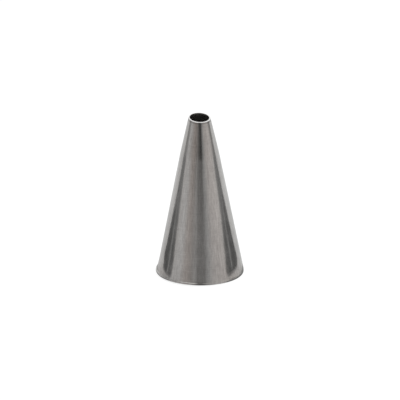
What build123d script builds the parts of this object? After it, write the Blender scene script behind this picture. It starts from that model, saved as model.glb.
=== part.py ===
"""Plain round piping nozzle: one seamless shell drawn from stainless steel sheet, open at both ends.

It stands on its wide end. The origin is the centre of the plane that its lip stands on, and +Z runs up the
axis to the mouth. Lengths are in millimetres.
"""

import os

from build123d import *

# Overall sizes
height = 50.5
lip_diameter = 27.0
mouth_diameter = 6.0

# Sheet
wall = 0.5

# Tip: drawn in once more, so that it tapers more than the body. A soft bend joins the two
tip_length = 11.3
tip_draw_in = 0.37
tip_bend_radius = 70.0

# Mouth: cut square and reamed to size, which leaves a short straight land. The rim is rounded over on its
# outside, and inside it only has its burr taken off
ream_depth = 0.17
rim_outer_round_share = 0.5
rim_inner_round_share = 0.15

# Lip: the sheet flares off the taper where it ran over the edge of the die, and ends in a short upright edge
lip_stand_out = 0.17
lip_edge_height = 0.4
flare_height = 1.2
lip_foot_round_share = 0.5
seat_bevel_share = 0.2

# The drawn shell is this much too long at each end before it is cut square
trim_allowance = 1.0

lip_radius = lip_diameter / 2
foot_radius = lip_radius - lip_stand_out
rim_width = wall - ream_depth
rim_radius = mouth_diameter / 2 + rim_width
taper = (foot_radius - rim_radius - tip_draw_in) / height
tip_start = height - tip_length
drawn_height = height + trim_allowance


def outer_radius(z):
    """Radius of the outside above the flare: the body's straight taper, and a steeper one up the tip."""
    way_up_tip = max(z - tip_start, 0) / tip_length
    return foot_radius - taper * z - tip_draw_in * way_up_tip


with BuildPart() as nozzle_shell:
    with BuildSketch(Plane.XZ) as section:
        # Sheet of even thickness, run past both ends: lip, flare, tapered body and tip
        with BuildLine():
            edge = Line((lip_radius, -trim_allowance), (lip_radius, lip_edge_height))
            body_and_tip = FilletPolyline(
                [(outer_radius(z), z) for z in (flare_height, tip_start, drawn_height)],
                radius=tip_bend_radius,
            )
            TangentArc(body_and_tip @ 0, edge @ 1, tangent=-(body_and_tip % 0))
            offset(amount=wall, side=Side.LEFT)
        make_face()

        # Both ends cut square, and the reamed mouth
        Rectangle(lip_diameter, 2 * trim_allowance, align=(Align.MIN, Align.MAX), mode=Mode.SUBTRACT)
        with Locations((0, height)):
            Rectangle(mouth_diameter, tip_length, mode=Mode.SUBTRACT)
            Rectangle(lip_diameter, 2 * trim_allowance, align=(Align.MIN, Align.MIN), mode=Mode.SUBTRACT)

        # Rounded rim and lip foot, and the bevel inside the seat
        rim_outer = section.vertices().group_by(Axis.Y)[-1].sort_by(Axis.X)[-1]
        fillet(rim_outer, rim_width * rim_outer_round_share)
        rim_inner = section.vertices().group_by(Axis.Y)[-1].sort_by(Axis.X)[0]
        fillet(rim_inner, rim_width * rim_inner_round_share)
        lip_foot = section.vertices().group_by(Axis.Y)[0].sort_by(Axis.X)[-1]
        fillet(lip_foot, lip_edge_height * lip_foot_round_share)
        seat_inner = section.vertices().group_by(Axis.Y)[0].sort_by(Axis.X)[0]
        chamfer(seat_inner, wall * seat_bevel_share)
    revolve(axis=Axis.Z)

nozzle_shell.part.label = "nozzle_shell"

os.makedirs("parts", exist_ok=True)
export_step(nozzle_shell.part, "parts/nozzle_shell.step")
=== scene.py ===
"""Looks of a plain round piping nozzle: satin stainless steel, standing on its wide end in a pale studio.

Lengths are in metres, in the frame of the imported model: the lip stands on z = 0 and the axis is +Z. Azimuths
are in degrees round the axis, 0 at the front and positive to the right, as the camera sees them.
"""
import math

import bmesh
import bpy
from mathutils import Matrix, Vector


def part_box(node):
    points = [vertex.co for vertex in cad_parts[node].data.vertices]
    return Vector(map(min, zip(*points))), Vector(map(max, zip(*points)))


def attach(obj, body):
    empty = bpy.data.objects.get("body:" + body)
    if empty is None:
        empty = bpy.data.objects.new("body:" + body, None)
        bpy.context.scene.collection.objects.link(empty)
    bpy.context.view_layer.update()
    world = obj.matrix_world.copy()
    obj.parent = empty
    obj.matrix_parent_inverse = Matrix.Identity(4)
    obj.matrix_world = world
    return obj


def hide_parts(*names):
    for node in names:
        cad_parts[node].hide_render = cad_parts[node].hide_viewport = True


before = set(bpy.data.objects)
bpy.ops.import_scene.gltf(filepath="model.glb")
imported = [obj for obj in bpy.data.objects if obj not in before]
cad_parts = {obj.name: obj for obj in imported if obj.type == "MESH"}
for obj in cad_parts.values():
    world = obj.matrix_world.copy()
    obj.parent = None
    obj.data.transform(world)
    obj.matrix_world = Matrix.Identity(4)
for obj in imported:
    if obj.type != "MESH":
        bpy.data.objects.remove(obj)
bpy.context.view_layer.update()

MM = 0.001

# Shell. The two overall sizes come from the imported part's box. The wall, mouth, tip and seat bevel are as the
# part has them, and the lip, its flare and the outer rounds are set a little closer to the real one
box_low, box_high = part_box("nozzle_shell")
HEIGHT = box_high.z
LIP_RADIUS = (box_high.x - box_low.x) / 2
MOUTH_RADIUS = 3.0 * MM
WALL = 0.5 * MM
RIM_WIDTH = 0.33 * MM
RIM_INNER_ROUND = 0.05 * MM
RIM_OUTER_ROUND = 0.11 * MM
RIM_FOOT_HEIGHT = 0.24 * MM
RIM_LAND = 0.8 * MM
TIP_LENGTH = 11.3 * MM
TIP_DRAW_IN = 0.37 * MM
TIP_BEND_HALF = 1.1 * MM
LIP_STAND_OUT = 0.08 * MM
LIP_EDGE_HEIGHT = 0.55 * MM
FLARE_HEIGHT = 0.95 * MM
FLARE_CURVE = 3.0
LIP_FOOT_ROUND = 0.12 * MM
SEAT_BEVEL = 0.1 * MM

FOOT_RADIUS = LIP_RADIUS - LIP_STAND_OUT
RIM_RADIUS = MOUTH_RADIUS + RIM_WIDTH
TAPER = (FOOT_RADIUS - RIM_RADIUS - TIP_DRAW_IN) / HEIGHT
TIP_TAPER = TAPER + TIP_DRAW_IN / TIP_LENGTH
TIP_START = HEIGHT - TIP_LENGTH
WALL_ACROSS = WALL * math.hypot(1, TAPER)

# Unevenness of the real one. The lip is pressed off centre to the left, which draws the foot of the body a
# little with it, and it stands off the table, most at the left, less in front and not at all at the right.
# The mouth is cut a little low and out of square, lowest in front and somewhat to the right. Both of the
# sides below are angles from +X
LIP_TRIM = 0.02 * MM
LIP_OFF_CENTRE = 0.223 * MM
LIP_DRAW_HEIGHT = 4.5 * MM
LIP_DRAW_SHARE = 0.25
LIP_LIFT_FRONT = 0.1 * MM
LIP_LIFT_LEFT = 0.36 * MM
LIP_LIFT_SIDE = math.radians(-102)
CUT_LEAN = math.radians(7.6)
CUT_LOW_SIDE = math.radians(-68)
CUT_DROP = 0.25 * MM
CUT_BLEND = 3.0 * MM

# Faint waves in the sheet: the lobes of each round the axis, the height in which it moves on by a radian, and
# its phase
WAVE_DEPTH = 0.003 * MM
WAVES = ((2, 9.0 * MM, 0.7), (-3, 6.5 * MM, 2.1), (5, 4.2 * MM, 4.4), (-9, 3.1 * MM, 1.2))

# Mesh of the shell
SEGMENTS = 288
BODY_RINGS = 140
INSIDE_RINGS = 60
ROUND_STEPS = 6
FLARE_STEPS = 14

# View of the photograph
ELEVATION = math.radians(20.5)
ROLL = math.radians(-0.39)
LENS_MM = 1500.0
SENSOR_MM = 36.0
PICTURE_PIXELS = 400
PIXELS_PER_MM = 3.2527
AXIS_PIXEL_X = 200.47
BASE_PIXEL_Y = 270.82
PIXEL = MM / PIXELS_PER_MM
FRAME_WIDTH = PICTURE_PIXELS * PIXEL

# Studio
AIR_LEVEL = 0.55
LAMP_SIZE = 0.7
LAMP_HEIGHT = 0.6
LAMP_ENERGY = 2.3
FLOOR_SIZE = 6.0
FLOOR_LEVEL = 0.25
FLOOR_GLOW = 0.82
DARK_FLOOR_INSET = 1.8 * MM
WALL_DISTANCE = 0.6
WALL_HEIGHT = 0.26
PLINTH_DISTANCE = 0.58
PLINTH_HEIGHT = 0.054
PLINTH_SIDE_SHARE = 0.0
CEILING_DISTANCE = 0.35
CEILING_HEIGHT = 0.62
CONTACT_WIDTH = 3.2 * MM
CONTACT_SIDE_SHARE = 0.75
CARD_GAP = 0.02 * MM
CARD_SIDES = 180

# What the metal shows by azimuth, from the back round the left to the front and on: degrees, level, warmth.
# In front they follow the photograph. Those of the table and the wall were first worked out from the greys
# and the warmth that the metal has there, azimuth by azimuth, and the overhead ones from a few greys on the
# rim and the flare. All were then adjusted against it
TABLE_LIGHTS = (
    (-180, 0.78, 0), (-150, 0.75, 0), (-120, 0.68, 0.01), (-92, 0.56, 0.03), (-77, 0.525, 0.02),
    (-66, 0.56, 0.01), (-56, 0.56, 0.01), (-48, 0.45, 0.05), (-41, 0.42, 0.08), (-31, 0.355, 0.08),
    (-25, 0.345, 0.05), (-14, 0.35, 0.01), (-8.5, 0.25, 0.02), (-3, 0.235, 0.02), (5, 0.232, 0.02),
    (11.5, 0.23, 0.02), (16, 0.31, 0.01), (22, 0.39, 0), (28, 0.43, 0.02), (34, 0.48, 0.04),
    (44, 0.51, 0.05), (56, 0.555, 0.05), (67, 0.58, 0.05), (80, 0.59, 0.03), (95, 0.59, 0.02),
    (120, 0.74, 0), (150, 0.76, 0), (180, 0.78, 0),
)
WALL_LIGHTS = (
    (-180, 0.85, 0), (-150, 0.74, 0), (-122, 0.8, 0.02), (-113, 0.6, 0.02), (-106, 0.45, 0.03),
    (-98, 0.29, 0.03), (-91, 0.31, 0.02), (-84, 0.43, 0.01), (-76, 0.57, 0.01), (-65, 0.45, 0.03),
    (-54, 0.385, 0.06), (-42, 0.34, 0.1), (-31, 0.275, 0.12), (-23, 0.25, 0.1), (-13, 0.23, 0.05),
    (-8, 0.12, 0.04), (0, 0.085, 0.04), (4, 0.045, 0.03), (10.5, 0.04, 0.02), (15, 0.15, 0),
    (21, 0.29, 0.01), (27, 0.39, 0.03), (33, 0.44, 0.05), (43, 0.51, 0.06), (61, 0.55, 0.06),
    (77, 0.58, 0.05), (86, 0.4, 0.04), (94, 0.25, 0.04), (104, 0.31, 0.03), (115, 0.8, 0.01),
    (140, 0.83, 0), (180, 0.85, 0),
)
CEILING_LIGHTS = (
    (-180, 0.9, 0), (-166, 1.0, 0), (-150, 0.55, 0), (-135, 0.36, 0), (-115, 0.36, 0), (-85, 0.5, 0.02),
    (-65, 0.52, 0.02), (-48, 0.48, 0.02), (-31, 0.42, 0.02), (-16, 0.34, 0.02), (-8, 0.2, 0.02),
    (8, 0.18, 0.02), (16, 0.32, 0.02), (32, 0.44, 0.03), (50, 0.5, 0.03), (110, 0.52, 0.02),
    (125, 0.5, 0), (140, 0.55, 0), (152, 0.7, 0), (166, 1.0, 0), (180, 0.9, 0),
)
OVERHEAD_LIGHTS = (
    (-180, 0.6, 0), (-150, 0.5, 0), (-110, 0.6, 0), (-80, 0.95, 0.02), (-24, 1.0, 0.02),
    (-14, 0.42, 0.02), (-8, 0.14, 0.02), (8, 0.12, 0.02), (16, 0.38, 0.02), (40, 0.6, 0.03),
    (80, 0.7, 0.02), (110, 0.6, 0), (150, 0.5, 0), (180, 0.6, 0),
)
# Beside the lip: painted contact shadow of the object on the table, and painted light in front to either side
CONTACT_SHADE_AND_LIGHTS = (
    (-180, 0.3, 0), (-160, 0.1, 0), (-80, 0.06, 0), (-52, 0.1, 0), (-43, 0.4, 0.02), (-33, 0.6, 0.02),
    (-17, 0.62, 0.02), (-11, 0.42, 0.02), (-7, 0.28, 0), (-3, 0.12, 0), (4, 0.1, 0), (9, 0.28, 0),
    (17, 0.42, 0.02), (24, 0.54, 0.02), (34, 0.54, 0.02), (40, 0.27, 0), (45, 0.15, 0), (51, 0.18, 0),
    (60, 0.22, 0), (90, 0.25, 0), (180, 0.3, 0),
)
# How bright the table is by distance from the axis, in metres, against the levels above. The dip near the
# object is painted shade that the object casts on the table
TABLE_LEVELS = (
    (0.02, 0.94), (0.05, 0.88), (0.085, 0.92), (0.12, 0.99), (0.19, 0.93), (0.3, 0.98), (0.42, 1.06),
    (0.6, 1.04),
)

# Dark cloth lying on the table at both sides, with a paler strip on it: x outwards and y, in millimetres
CLOTH_LEFT_MM = (
    (36, -8), (48, -14), (88, -19.5), (225, -31), (300, -35), (590, -46), (590, 160), (235, 79),
    (188, 71), (125, 58), (75, 38), (41, 19.5), (31, 4),
)
CLOTH_RIGHT_MM = (
    (30, -14.5), (53, -23), (90, -32.5), (172, -44), (250, -49), (340, -55), (590, -63), (590, 160),
    (235, 79), (188, 70), (125, 58), (75, 37), (38, 17), (28.5, 3.5),
)
STRIP_LEFT_MM = ((43, -3.5), (230, 22), (230, 38), (43, -1))
STRIP_RIGHT_MM = ((45, -6), (230, 14), (230, 32), (45, -2.5))
CLOTH_LAYER = 2
STRIP_LAYER = 3
STRIP_LEVEL = 0.32
# How pale the cloth is by distance from the axis, in metres
CLOTH_LEVELS = ((0.0, 0.115), (0.15, 0.14), (0.25, 0.23), (0.4, 0.3), (0.55, 0.32))

# Marks on the steel. Scales are per metre, except that the drawn marks have one per radian round the axis and
# one that says how many radians a metre of height counts as. A hairline lies where a noise has its middle
# value, and reaches so far to either side of that value
FINE_TURNED_SCALE = (300, 300, 5200)
COARSE_TURNED_SCALE = (420, 420, 2100)
COARSE_SHARE = 0.55
TURNED_DETAIL = 3.0
TURNED_ROUGHNESS = 0.6
DRAWN_SCALE = 22.0
DRAWN_HEIGHT_SCALE = (0, 0, 14)
DRAWN_DETAIL = 4.0
DRAWN_ROUGHNESS = 0.65
SMUDGE_SCALE = 230.0
SMUDGE_DETAIL = 3.0
SPECK_SCALE = 2300.0
SPECK_DETAIL = 1.0
SPECK_START = 0.74
SPECK_FULL = 0.79
HAIRLINE_SCALE = (90, 90, 700)
HAIRLINE_DETAIL = 1.0
HAIRLINE_REACH = 0.006
HAIRLINE_TURNS = (0.5, -0.9, 2.2)
NOISE_MIDDLE = 0.5

# How the marks show: their shares in the colour, the relief and the roughness, and the values between which
# the colour and the roughness change
SMUDGE_SHARE = 0.2
UNTURNED_SHARE = 0.74
HAIRLINE_COLOUR_SHARE = 0.07
SPECK_COLOUR_SHARE = 0.25
HAIRLINE_DEPTH_SHARE = 0.6
SMUDGE_ROUGHNESS_SHARE = 0.5
COLOUR_RANGE = (0.39, 0.61)
ROUGHNESS_RANGE = (0.35, 0.65)

# Finishes of the steel: the colours of its dark and light marks, its roughness and how far that strays either
# way, and the depth of its relief. The inside and the ring below the rim carry painted shade, the cut end
# painted highlight
OUTSIDE_FINISH = {
    "dark": (0.49, 0.48, 0.468),
    "light": (0.66, 0.65, 0.635),
    "roughness": 0.14,
    "roughness_spread": 0.03,
    "groove_depth": 0.0014 * MM,
}
# The inside: rougher than the outside, and its colours darker as painted shade in the hollow
INSIDE_FINISH_AND_SHADE = {
    "dark": (0.3, 0.29, 0.28),
    "light": (0.38, 0.37, 0.355),
    "roughness": 0.42,
    "roughness_spread": 0.05,
    "groove_depth": 0.006 * MM,
}
# The cut end: bare metal, its colours raised to near white as painted highlight
CUT_FINISH_AND_HIGHLIGHT = {
    "dark": (0.9, 0.89, 0.88),
    "light": (0.98, 0.97, 0.96),
    "roughness": 0.16,
    "roughness_spread": 0.03,
    "groove_depth": 0.001 * MM,
}
# The ring below the rim: its darker colours are painted shade, a dark line under the rounded edge
RIM_FOOT_FINISH_AND_SHADE = {
    "dark": (0.34, 0.335, 0.33),
    "light": (0.46, 0.45, 0.44),
    "roughness": 0.18,
    "roughness_spread": 0.03,
    "groove_depth": 0.001 * MM,
}


def outer_radius(z):
    """Radius of the outside above the flare: the body's straight taper, a soft bend, and the steeper tip."""
    past_bend = z - TIP_START
    if past_bend < -TIP_BEND_HALF:
        bent = 0
    elif past_bend > TIP_BEND_HALF:
        bent = past_bend
    else:
        bent = (past_bend + TIP_BEND_HALF) ** 2 / (4 * TIP_BEND_HALF)
    return FOOT_RADIUS - TAPER * z - (TIP_TAPER - TAPER) * bent


def arc(centre, radius, start, end, steps):
    """Points on an arc in the (radius, height) plane, from one angle to another, in degrees."""
    points = []
    for step in range(steps + 1):
        angle = math.radians(start + (end - start) * step / steps)
        points.append((centre[0] + radius * math.cos(angle), centre[1] + radius * math.sin(angle)))
    return points


def outside_profile():
    """Down the outside, from the ring below the rim to the foot of the lip."""
    top = HEIGHT - RIM_OUTER_ROUND - RIM_FOOT_HEIGHT
    points = []
    for ring in range(1, BODY_RINGS + 1):
        z = top + (FLARE_HEIGHT - top) * ring / BODY_RINGS
        points.append((outer_radius(z), z))
    for step in range(1, FLARE_STEPS + 1):
        t = step / FLARE_STEPS
        z = FLARE_HEIGHT + (LIP_EDGE_HEIGHT - FLARE_HEIGHT) * t
        taper_radius = outer_radius(z)
        points.append((taper_radius + (LIP_RADIUS - taper_radius) * t**FLARE_CURVE, z))
    foot = (LIP_RADIUS - LIP_FOOT_ROUND, LIP_FOOT_ROUND)
    return points + arc(foot, LIP_FOOT_ROUND, 0, -90, ROUND_STEPS)


def rim_foot_profile():
    """The ring just below the rim, darker as a painted shade line under the edge."""
    points = []
    for step in range(1, ROUND_STEPS + 1):
        z = HEIGHT - RIM_OUTER_ROUND - RIM_FOOT_HEIGHT * step / ROUND_STEPS
        points.append((outer_radius(z), z))
    return points


def inside_profile():
    """From the seat up the inside to the land of the mouth."""
    seat_inner = LIP_RADIUS - WALL
    points = [(seat_inner + SEAT_BEVEL, 0), (seat_inner, SEAT_BEVEL)]
    land_foot = HEIGHT - RIM_LAND
    for step in range(FLARE_STEPS + 1):
        t = 1 - step / FLARE_STEPS
        z = FLARE_HEIGHT + (2 * SEAT_BEVEL - FLARE_HEIGHT) * t
        taper_radius = outer_radius(z) - WALL_ACROSS
        points.append((taper_radius + (seat_inner - taper_radius) * t**FLARE_CURVE, z))
    for ring in range(1, INSIDE_RINGS + 1):
        z = FLARE_HEIGHT + (land_foot - FLARE_HEIGHT) * ring / INSIDE_RINGS
        points.append((max(outer_radius(z) - WALL_ACROSS, MOUTH_RADIUS), z))
    return points


def rim_profile():
    """Over the cut end, from the land inside the mouth to the outside."""
    inner_centre = (MOUTH_RADIUS + RIM_INNER_ROUND, HEIGHT - RIM_INNER_ROUND)
    outer_centre = (RIM_RADIUS - RIM_OUTER_ROUND, HEIGHT - RIM_OUTER_ROUND)
    inner = arc(inner_centre, RIM_INNER_ROUND, 180, 90, ROUND_STEPS)
    outer = arc(outer_centre, RIM_OUTER_ROUND, 90, 0, ROUND_STEPS)
    return inner + outer


def share(value, start, end):
    """0 at the start, 1 at the end, straight between them."""
    return min(max((value - start) / (end - start), 0), 1)


def uneven(radius, z, angle):
    """Moves a point of the true shape to where it is on the real one. The angle is from +X, in radians."""
    lip = share(z, FLARE_HEIGHT, LIP_EDGE_HEIGHT) ** 2
    drawn = share(z, LIP_DRAW_HEIGHT, FLARE_HEIGHT) * LIP_DRAW_SHARE
    cut = share(z, HEIGHT - CUT_BLEND, HEIGHT)
    drop = cut * (CUT_DROP + math.tan(CUT_LEAN) * radius * math.cos(angle - CUT_LOW_SIDE))
    lift = LIP_LIFT_LEFT * (1 - math.cos(angle)) / 2
    lift += LIP_LIFT_FRONT * max(math.cos(angle - LIP_LIFT_SIDE), 0) ** 2
    lift *= share(z, LIP_DRAW_HEIGHT, 0)
    radius -= lip * LIP_TRIM + max(lip, drawn) * LIP_OFF_CENTRE * math.cos(angle)
    radius += drop * TIP_TAPER * share(radius, MOUTH_RADIUS, RIM_RADIUS)
    for lobes, pitch, phase in WAVES:
        radius += (1 - lip) * (1 - cut) * WAVE_DEPTH * math.sin(lobes * angle + z / pitch + phase)
    return radius, z - drop + lift


def build_shell(materials):
    """Turns the closed profile round the axis. Each zone of the profile has its own material."""
    zones = [
        ("outside", outside_profile()),
        ("inside", inside_profile()),
        ("rim", rim_profile()),
        ("rim_foot", rim_foot_profile()),
    ]
    names = list(materials)
    mesh = bmesh.new()
    rings = []
    for zone, points in zones:
        for radius, z in points:
            ring = []
            for segment in range(SEGMENTS):
                angle = 2 * math.pi * segment / SEGMENTS
                r, height = uneven(radius, z, angle)
                ring.append(mesh.verts.new((r * math.cos(angle), r * math.sin(angle), height)))
            rings.append((zone, ring))
    for index, (zone, ring) in enumerate(rings):
        next_ring = rings[(index + 1) % len(rings)][1]
        for segment in range(SEGMENTS):
            after = (segment + 1) % SEGMENTS
            face = mesh.faces.new((ring[segment], ring[after], next_ring[after], next_ring[segment]))
            face.smooth = True
            face.material_index = names.index(zone)
    bmesh.ops.recalc_face_normals(mesh, faces=mesh.faces)
    data = bpy.data.meshes.new("nozzle_shell_steel")
    mesh.to_mesh(data)
    mesh.free()
    shell = bpy.data.objects.new("nozzle_shell_steel", data)
    bpy.context.scene.collection.objects.link(shell)
    for name in names:
        data.materials.append(materials[name])
    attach(shell, "root")
    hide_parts("nozzle_shell")


class Nodes:
    """A short way to add nodes to a material or a world and to join them."""

    def __init__(self, owner):
        owner.use_nodes = True
        self.tree = owner.node_tree
        self.tree.nodes.clear()

    def add(self, kind, inputs=None, **settings):
        node = self.tree.nodes.new(kind)
        for name, value in settings.items():
            setattr(node, name, value)
        for name, value in (inputs or {}).items():
            if isinstance(value, bpy.types.NodeSocket):
                self.tree.links.new(value, node.inputs[name])
            else:
                node.inputs[name].default_value = value
        return node

    def math(self, operation, first, second=0.0):
        return self.add("ShaderNodeMath", {0: first, 1: second}, operation=operation).outputs[0]

    def mix(self, amount, first, second):
        """The first number at 0, the second at 1."""
        return self.add("ShaderNodeMix", {"Factor": amount, "A": first, "B": second}).outputs["Result"]

    def place(self):
        return self.add("ShaderNodeTexCoord").outputs["Object"]

    def distance(self):
        """How far a point is from the origin, which on the floor is how far it is from the axis."""
        return self.add("ShaderNodeVectorMath", {0: self.place()}, operation="LENGTH").outputs["Value"]

    def split(self, vector):
        return self.add("ShaderNodeSeparateXYZ", {0: vector}).outputs

    def noise(self, vector, scale, detail, roughness=0.5):
        inputs = {"Vector": vector, "Scale": scale, "Detail": detail, "Roughness": roughness}
        return self.add("ShaderNodeTexNoise", inputs).outputs["Fac"]

    def stretched(self, vector, scale, turn=(0, 0, 0)):
        inputs = {"Vector": vector, "Scale": scale, "Rotation": turn}
        return self.add("ShaderNodeMapping", inputs).outputs["Vector"]

    def hairlines(self, place, turn):
        """Thin scratches, 1 on the line, that run across the axis at an angle."""
        field = self.noise(self.stretched(place, HAIRLINE_SCALE, (turn, turn / 2, 0)), 1.0, HAIRLINE_DETAIL)
        off_line = self.math("ABSOLUTE", self.math("SUBTRACT", field, NOISE_MIDDLE))
        return self.map_range(off_line, 1.0, 0.0, 0.0, HAIRLINE_REACH)

    def ramp(self, factor, stops):
        node = self.add("ShaderNodeValToRGB", {"Fac": factor})
        elements = node.color_ramp.elements
        while len(elements) < len(stops):
            elements.new(0.5)
        for element, (position, colour) in zip(elements, stops):
            element.position = position
            element.color = (*colour, 1)
        return node.outputs["Color"]

    def lights(self, stops):
        """Colour by azimuth round the axis."""
        place = self.split(self.place())
        azimuth = self.math("ARCTAN2", place["X"], self.math("MULTIPLY", place["Y"], -1.0))
        turn = self.math("ADD", self.math("MULTIPLY", azimuth, 0.5 / math.pi), 0.5)
        colours = [((degrees + 180) / 360, tint(level, warmth)) for degrees, level, warmth in stops]
        return self.ramp(turn, colours)

    def greys(self, stops):
        """Grey by distance from the axis."""
        return self.ramp(self.distance(), [(distance, grey(level)) for distance, level in stops])

    def map_range(self, value, low, high, start=0.0, end=1.0):
        inputs = {"Value": value, "From Min": start, "From Max": end, "To Min": low, "To Max": high}
        return self.add("ShaderNodeMapRange", inputs).outputs["Result"]

    def output(self, shader, kind="ShaderNodeOutputMaterial"):
        self.add(kind, {"Surface": shader.outputs[0]})


def grey(level):
    return (level, level, level)


def tint(level, warmth):
    return (level * (1 + warmth), level, level * (1 - warmth / 2))


def new_material(name):
    material = bpy.data.materials.new(name)
    return material, Nodes(material)


def turned_marks(nodes, place):
    """Fine and coarse marks that run round the axis."""
    fine = nodes.stretched(place, FINE_TURNED_SCALE)
    fine = nodes.noise(fine, 1.0, TURNED_DETAIL, TURNED_ROUGHNESS)
    coarse = nodes.stretched(place, COARSE_TURNED_SCALE)
    coarse = nodes.noise(coarse, 1.0, TURNED_DETAIL, TURNED_ROUGHNESS)
    return nodes.mix(COARSE_SHARE, fine, coarse)


def drawn_marks(nodes, place):
    """Streaks along the axis: they change with the direction from it, and slowly on the way up."""
    flat = nodes.stretched(place, (1, 1, 0))
    direction = nodes.add("ShaderNodeVectorMath", {0: flat}, operation="NORMALIZE").outputs[0]
    way_up = nodes.stretched(place, DRAWN_HEIGHT_SCALE)
    field = nodes.add("ShaderNodeVectorMath", {0: direction, 1: way_up}).outputs[0]
    return nodes.noise(field, DRAWN_SCALE, DRAWN_DETAIL, DRAWN_ROUGHNESS)


def crossing_hairlines(nodes, place):
    """Hairlines at every angle that is given, the strongest where they cross."""
    hairlines = nodes.hairlines(place, HAIRLINE_TURNS[0])
    for turn in HAIRLINE_TURNS[1:]:
        hairlines = nodes.math("MAXIMUM", hairlines, nodes.hairlines(place, turn))
    return hairlines


def steel_material(name, dark, light, roughness, roughness_spread, groove_depth):
    """Stainless steel. Streaks along its axis show most in the colour, and turned marks in the relief.

    Soft smudges, thin hairlines and small specks are added to them.
    """
    material, nodes = new_material(name)
    place = nodes.place()
    turned = turned_marks(nodes, place)
    drawn = drawn_marks(nodes, place)
    smudge = nodes.noise(place, SMUDGE_SCALE, SMUDGE_DETAIL)
    hairlines = crossing_hairlines(nodes, place)
    specks = nodes.noise(place, SPECK_SCALE, SPECK_DETAIL)
    specks = nodes.map_range(specks, 0.0, 1.0, SPECK_START, SPECK_FULL)

    marks = nodes.mix(UNTURNED_SHARE, turned, nodes.mix(SMUDGE_SHARE, drawn, smudge))
    marks = nodes.math("ADD", marks, nodes.math("MULTIPLY", hairlines, HAIRLINE_COLOUR_SHARE))
    marks = nodes.math("ADD", marks, nodes.math("MULTIPLY", specks, SPECK_COLOUR_SHARE))
    colours = tuple(zip(COLOUR_RANGE, (dark, light)))

    height = nodes.math("SUBTRACT", turned, nodes.math("MULTIPLY", hairlines, HAIRLINE_DEPTH_SHARE))
    bump = nodes.add("ShaderNodeBump", {"Height": height, "Strength": 1.0, "Distance": groove_depth})

    low, high = roughness - roughness_spread, roughness + roughness_spread
    wear = nodes.mix(SMUDGE_ROUGHNESS_SHARE, drawn, smudge)
    inputs = {
        "Base Color": nodes.ramp(marks, colours),
        "Metallic": 1.0,
        "Roughness": nodes.map_range(wear, low, high, *ROUGHNESS_RANGE),
        "Normal": bump.outputs["Normal"],
    }
    nodes.output(nodes.add("ShaderNodeBsdfPrincipled", inputs))
    return material


def seen_as_background(nodes):
    """1 for what sees the bare background: the camera, and what metal and glass show of it."""
    path = nodes.add("ShaderNodeLightPath").outputs
    gloss = nodes.math("MAXIMUM", path["Is Glossy Ray"], path["Is Transmission Ray"])
    return nodes.math("MAXIMUM", path["Is Camera Ray"], gloss)


def add_mesh(name, vertices, faces, material):
    data = bpy.data.meshes.new(name)
    data.from_pydata(vertices, [], faces)
    data.materials.append(material)
    thing = bpy.data.objects.new(name, data)
    bpy.context.scene.collection.objects.link(thing)
    return thing


def only_in_reflections(thing):
    """Makes a studio card show in the metal and nowhere else."""
    thing.visible_camera = False
    thing.visible_diffuse = False
    thing.visible_shadow = False
    thing.visible_transmission = False
    thing.visible_volume_scatter = False


def glow_by_azimuth(name, stops, levels=None):
    """Levels by distance from the axis can make it brighter and darker as well."""
    material, nodes = new_material(name)
    strength = nodes.greys(levels) if levels else 1.0
    nodes.output(nodes.add("ShaderNodeEmission", {"Color": nodes.lights(stops), "Strength": strength}))
    return material


def ring_card(name, low, high, material, side_share=1.0):
    """A band round the axis, from one (radius, height) pair to another.

    In front it is whole. Towards the sides it narrows to a share of its width, and it stays so at the back.
    """
    vertices = []
    for way_up in (0, 1):
        for step in range(CARD_SIDES):
            angle = 2 * math.pi * step / CARD_SIDES
            reach = way_up * max(-math.sin(angle), side_share)
            radius = low[0] + (high[0] - low[0]) * reach
            z = low[1] + (high[1] - low[1]) * reach
            vertices.append((radius * math.cos(angle), radius * math.sin(angle), z))
    faces = []
    for step in range(CARD_SIDES):
        after = (step + 1) % CARD_SIDES
        faces.append((step, after, CARD_SIDES + after, CARD_SIDES + step))
    only_in_reflections(add_mesh(name, vertices, faces, material))


def add_world():
    """Soft light from all round. To the camera, and in metal, it is plain white."""
    world = bpy.data.worlds.new("studio_air")
    bpy.context.scene.world = world
    nodes = Nodes(world)
    strength = nodes.map_range(seen_as_background(nodes), AIR_LEVEL, 1.0)
    background = nodes.add("ShaderNodeBackground", {"Color": (1, 1, 1, 1), "Strength": strength})
    nodes.output(background, "ShaderNodeOutputWorld")


def add_floor():
    """White floor. Under the object it is only as bright as it is lit, so that the inside is dark."""
    material, nodes = new_material("white_floor")
    outside = nodes.math("GREATER_THAN", nodes.distance(), LIP_RADIUS - DARK_FLOOR_INSET)
    lit = nodes.math("MULTIPLY", seen_as_background(nodes), outside)
    diffuse = nodes.add("ShaderNodeBsdfDiffuse", {"Color": (*grey(FLOOR_LEVEL), 1)})
    strength = nodes.math("MULTIPLY", lit, FLOOR_GLOW)
    glow = nodes.add("ShaderNodeEmission", {"Color": (1, 1, 1, 1), "Strength": strength})
    nodes.output(nodes.add("ShaderNodeAddShader", {0: diffuse.outputs[0], 1: glow.outputs[0]}))
    half = FLOOR_SIZE / 2
    corners = [(-half, -half, 0), (half, -half, 0), (half, half, 0), (-half, half, 0)]
    add_mesh("floor", corners, [(0, 1, 2, 3)], material)


def add_table():
    """The table top that the metal shows, and the ring of it right beside the lip: painted contact shadow, with
    painted light in front to either side.
    """
    table = glow_by_azimuth("table", TABLE_LIGHTS, TABLE_LEVELS)
    inner = LIP_RADIUS - LIP_TRIM - LIP_OFF_CENTRE - CARD_GAP
    ring_card("table_top", (inner, CARD_GAP), (WALL_DISTANCE, CARD_GAP), table)
    contact_shade_and_light = glow_by_azimuth("contact_shade_and_light", CONTACT_SHADE_AND_LIGHTS)
    outer = inner + CONTACT_WIDTH
    ring_card("contact_shade_and_light_ring", (inner, 2 * CARD_GAP), (outer, 2 * CARD_GAP), contact_shade_and_light, CONTACT_SIDE_SHARE)


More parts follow.
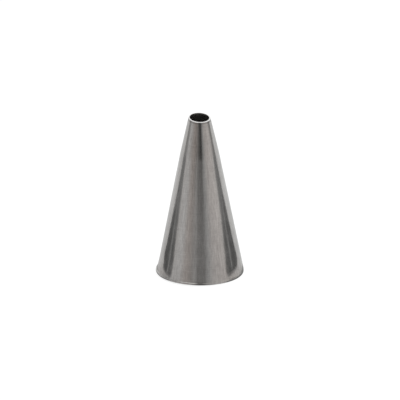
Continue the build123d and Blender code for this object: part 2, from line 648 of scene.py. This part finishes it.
def add_studio_wall():
    """Light cards all round, a ceiling of more above them, and in front a plinth as bright as the table."""
    wall = glow_by_azimuth("light_wall", WALL_LIGHTS)
    ring_card("light_wall", (WALL_DISTANCE, 0), (WALL_DISTANCE, WALL_HEIGHT), wall)
    ceiling = glow_by_azimuth("ceiling", CEILING_LIGHTS)
    ring_card("ceiling", (WALL_DISTANCE, WALL_HEIGHT), (CEILING_DISTANCE, CEILING_HEIGHT), ceiling)
    overhead = glow_by_azimuth("overhead", OVERHEAD_LIGHTS)
    ring_card("overhead", (CEILING_DISTANCE, CEILING_HEIGHT), (CARD_GAP, CEILING_HEIGHT), overhead)
    plinth = glow_by_azimuth("plinth", TABLE_LIGHTS)
    plinth_top = (PLINTH_DISTANCE, PLINTH_HEIGHT)
    ring_card("plinth", (PLINTH_DISTANCE, 0), plinth_top, plinth, PLINTH_SIDE_SHARE)


def add_side_cloths():
    """The dark cloth and the paler strip at each side, in layers just above the table."""
    cloth, nodes = new_material("dark_cloth")
    nodes.output(nodes.add("ShaderNodeBsdfDiffuse", {"Color": nodes.greys(CLOTH_LEVELS)}))
    strip, nodes = new_material("pale_strip")
    nodes.output(nodes.add("ShaderNodeBsdfDiffuse", {"Color": (*grey(STRIP_LEVEL), 1)}))
    for side, name, outline, material, layer in (
        (-1, "cloth_left", CLOTH_LEFT_MM, cloth, CLOTH_LAYER),
        (1, "cloth_right", CLOTH_RIGHT_MM, cloth, CLOTH_LAYER),
        (-1, "strip_left", STRIP_LEFT_MM, strip, STRIP_LAYER),
        (1, "strip_right", STRIP_RIGHT_MM, strip, STRIP_LAYER),
    ):
        vertices = [(side * x * MM, y * MM, layer * CARD_GAP) for x, y in outline]
        only_in_reflections(add_mesh(name, vertices, [tuple(range(len(vertices)))], material))


def add_lamp():
    """One large soft box overhead."""
    data = bpy.data.lights.new("soft_box", "AREA")
    data.shape = "DISK"
    data.size = LAMP_SIZE
    data.energy = LAMP_ENERGY
    lamp = bpy.data.objects.new("soft_box", data)
    lamp.location = (0, 0, LAMP_HEIGHT)
    lamp.visible_glossy = False
    bpy.context.scene.collection.objects.link(lamp)


def add_camera():
    """A long lens at the photograph's angle, so far away that near and far show almost at one scale."""
    distance = LENS_MM / SENSOR_MM * FRAME_WIDTH
    back = Vector((0, -math.cos(ELEVATION), math.sin(ELEVATION)))
    data = bpy.data.cameras.new("camera")
    data.lens = LENS_MM
    data.sensor_width = SENSOR_MM
    data.clip_end = FLOOR_SIZE * 2
    camera = bpy.data.objects.new("camera", data)
    bpy.context.scene.collection.objects.link(camera)
    turn = back.to_track_quat("Z", "Y").to_matrix() @ Matrix.Rotation(ROLL, 3, "Z")
    right, up = turn.col[0], turn.col[1]
    middle = PICTURE_PIXELS / 2
    aim = right * (middle - AXIS_PIXEL_X) * PIXEL + up * (BASE_PIXEL_Y - middle) * PIXEL
    camera.matrix_world = Matrix.Translation(aim + back * distance) @ turn.to_4x4()
    bpy.context.scene.camera = camera


def add_shell():
    """The shell, with a finish for each zone of its profile; the inside and rim foot carry painted shade, the
    cut end painted highlight.
    """
    materials = {
        "outside": steel_material("steel_satin", **OUTSIDE_FINISH),
        "inside": steel_material("steel_inside_painted_shade", **INSIDE_FINISH_AND_SHADE),
        "rim": steel_material("steel_cut_painted_highlight", **CUT_FINISH_AND_HIGHLIGHT),
        "rim_foot": steel_material("steel_rim_foot_painted_shade", **RIM_FOOT_FINISH_AND_SHADE),
    }
    build_shell(materials)


bpy.context.scene.view_settings.view_transform = "Standard"
add_camera()
add_world()
add_floor()
add_table()
add_side_cloths()
add_studio_wall()
add_lamp()
add_shell()
